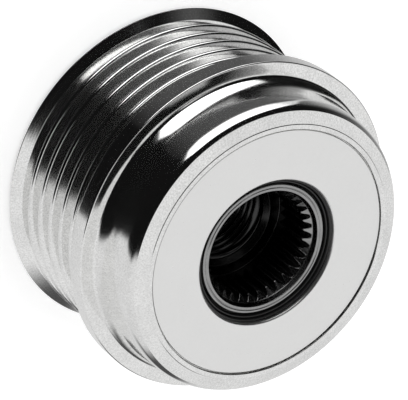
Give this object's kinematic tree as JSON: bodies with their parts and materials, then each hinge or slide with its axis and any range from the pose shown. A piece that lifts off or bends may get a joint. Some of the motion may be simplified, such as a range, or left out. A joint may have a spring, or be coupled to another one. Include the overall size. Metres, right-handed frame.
{
  "type": "overrunning alternator pulley",
  "caption": "Ribbed belt pulley on two ball bearings with a one-way roller clutch, on a hub that screws onto a generator shaft by its serrated socket.",
  "frame": {"origin": "centre of the hub's rear end face, on the shaft axis, which is also the middle of the part's lowest plane", "axes": "+Z along the shaft axis to the front, where the cover plate and the tool socket are; X and Y are across the pulley"},
  "size_m": [0.0632, 0.0632, 0.038],
  "materials": {
    "plated_steel": "turned and bright zinc plated",
    "cover_steel": "pressed sheet, satin plated",
    "hub_steel": "dark oiled, machined",
    "seal_rubber": "matt nitrile",
    "bearing_steel": "ground",
    "cage_plastic": "moulded polyamide",
    "spring_steel": "rolled strip"
  },
  "bodies": {
    "hub": {"hub": "hub_steel", "front_bearing_inner_ring": "bearing_steel", "rear_bearing_inner_ring": "bearing_steel", "rear_spacer_washer": "bearing_steel", "front_spacer_washer": "bearing_steel", "clutch_ramp_ring": "bearing_steel", "clutch_rollers": "bearing_steel", "clutch_cage": "cage_plastic", "clutch_springs": "spring_steel"},
    "pulley": {"grooved_pulley": "plated_steel", "front_cover_plate": "cover_steel", "front_lip_seal": "seal_rubber", "front_bearing_outer_ring": "bearing_steel", "rear_bearing_outer_ring": "bearing_steel", "rear_bearing_seal": "seal_rubber", "clutch_outer_sleeve": "bearing_steel"},
    "front_cage": {"front_bearing_cage": "cage_plastic", "front_bearing_balls": "bearing_steel"},
    "rear_cage": {"rear_bearing_cage": "cage_plastic", "rear_bearing_balls": "bearing_steel"}
  },
  "joints": [
    {"name": "pulley_spin", "type": "hinge", "parent": "hub", "child": "pulley", "pos_m": [0, 0, 0.0185], "axis": [0, 0, 1], "continuous": true},
    {"name": "front_cage_spin", "type": "hinge", "parent": "hub", "child": "front_cage", "pos_m": [0, 0, 0.0306], "axis": [0, 0, 1], "continuous": true},
    {"name": "rear_cage_spin", "type": "hinge", "parent": "hub", "child": "rear_cage", "pos_m": [0, 0, 0.0064], "axis": [0, 0, 1], "continuous": true}
  ],
  "couplings": [
    {"joint": "front_cage_spin", "follows": "pulley_spin", "ratio": 0.5764},
    {"joint": "rear_cage_spin", "follows": "pulley_spin", "ratio": 0.5764}
  ]
}
